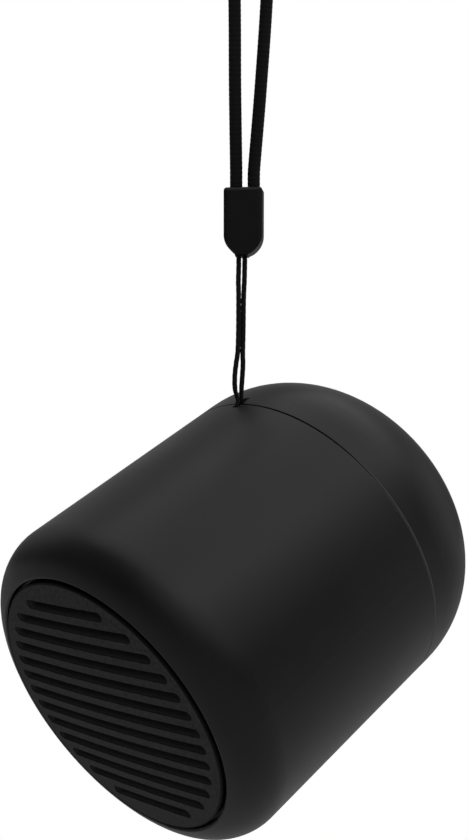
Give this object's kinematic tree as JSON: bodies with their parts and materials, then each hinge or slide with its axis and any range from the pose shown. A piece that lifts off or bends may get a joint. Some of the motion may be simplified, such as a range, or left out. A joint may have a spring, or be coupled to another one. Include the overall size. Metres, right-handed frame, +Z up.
{
  "type": "shower speaker",
  "caption": "Short round black wireless speaker hanging from a cord loop: slotted grille disc, domed rear cap, power button, flap over the charging socket.",
  "frame": {"origin": "inside of the top of the strap's loop, where a hook or finger carries the speaker", "axes": "+Z up along the hanging lanyard, +X along the lanyard pin that the body swings on, -Y the way the grille faces in plan"},
  "size_m": [0.056, 0.0757, 0.2047],
  "materials": {
    "strap_cord": "matte",
    "string_cord": "satin",
    "ferrule_plastic": "satin",
    "soft_touch_black": "matte",
    "grille_black": "matte",
    "button_black": "matte",
    "inner_plastic": "matte",
    "seal_rubber": "matte",
    "black_rubber": "matte",
    "foam": "matte",
    "membrane": "matte",
    "bright_steel": "satin",
    "zinc_plate": "satin",
    "black_sheet": "satin",
    "ferrite": "matte",
    "terminal_board": "matte",
    "cone_paper": "matte",
    "coil_copper": "satin",
    "spider_cloth": "matte",
    "cell_foil": "satin",
    "red_wire": "satin",
    "black_wire": "satin",
    "board_green": "satin",
    "shield_can": "satin",
    "chip_black": "matte",
    "capacitor_can": "satin",
    "connector_white": "gloss",
    "plunger_white": "gloss",
    "clear_plastic": "gloss",
    "mic_can": "satin"
  },
  "bodies": {
    "lanyard": {"wrist_strap": "strap_cord", "lanyard_string": "string_cord", "cord_ferrule": "ferrule_plastic"},
    "speaker": {"main_shell": "soft_touch_black", "rear_cap": "soft_touch_black", "seam_ring": "seal_rubber", "lanyard_pin": "bright_steel", "grille_plate": "grille_black", "water_membrane": "membrane", "foam_ring": "foam", "seat_gasket": "black_rubber", "driver_frame": "black_sheet", "driver_screws": "bright_steel", "top_plate": "zinc_plate", "magnet": "ferrite", "yoke": "zinc_plate", "driver_terminals": "terminal_board", "surround": "black_rubber", "spider": "spider_cloth", "battery_tray": "inner_plastic", "tray_screws": "bright_steel", "battery_pad": "foam", "battery_cell": "cell_foil", "battery_wires": "red_wire", "speaker_wires": "black_wire", "circuit_board": "board_green", "board_screws": "bright_steel", "wireless_module": "shield_can", "amplifier_chip": "chip_black", "capacitors": "capacitor_can", "battery_connector": "connector_white", "speaker_connector": "connector_white", "usb_socket": "bright_steel", "usb_tongue": "chip_black", "switch_body": "chip_black", "status_led": "clear_plastic", "light_pipe": "clear_plastic", "microphone": "mic_can", "mic_boot": "black_rubber"},
    "power_button": {"power_button": "button_black", "button_seal": "black_rubber", "switch_plunger": "plunger_white"},
    "port_cover": {"port_cover": "black_rubber"},
    "cone": {"diaphragm": "cone_paper", "dust_cap": "cone_paper", "voice_coil": "coil_copper"}
  },
  "joints": [
    {"name": "speaker_swing", "type": "hinge", "parent": "lanyard", "child": "speaker", "pos_m": [0, 0, -0.1356], "axis": [1, 0, 0], "range_deg": [-20, 20]},
    {"name": "button_press", "type": "slide", "parent": "speaker", "child": "power_button", "axis": [0, -0.887, -0.4617], "range_m": [0, 0.0004], "stiffness_N_per_m": 4000},
    {"name": "cover_swing", "type": "hinge", "parent": "speaker", "child": "port_cover", "pos_m": [0, 0.0344, -0.15664], "axis": [-1, 0, 0], "range_deg": [0, 110]},
    {"name": "cone_slide", "type": "slide", "parent": "speaker", "child": "cone", "axis": [0, -0.887, -0.4617], "range_m": [-0.001, 0.001], "stiffness_N_per_m": 1500, "deforming": ["surround", "spider"]}
  ]
}
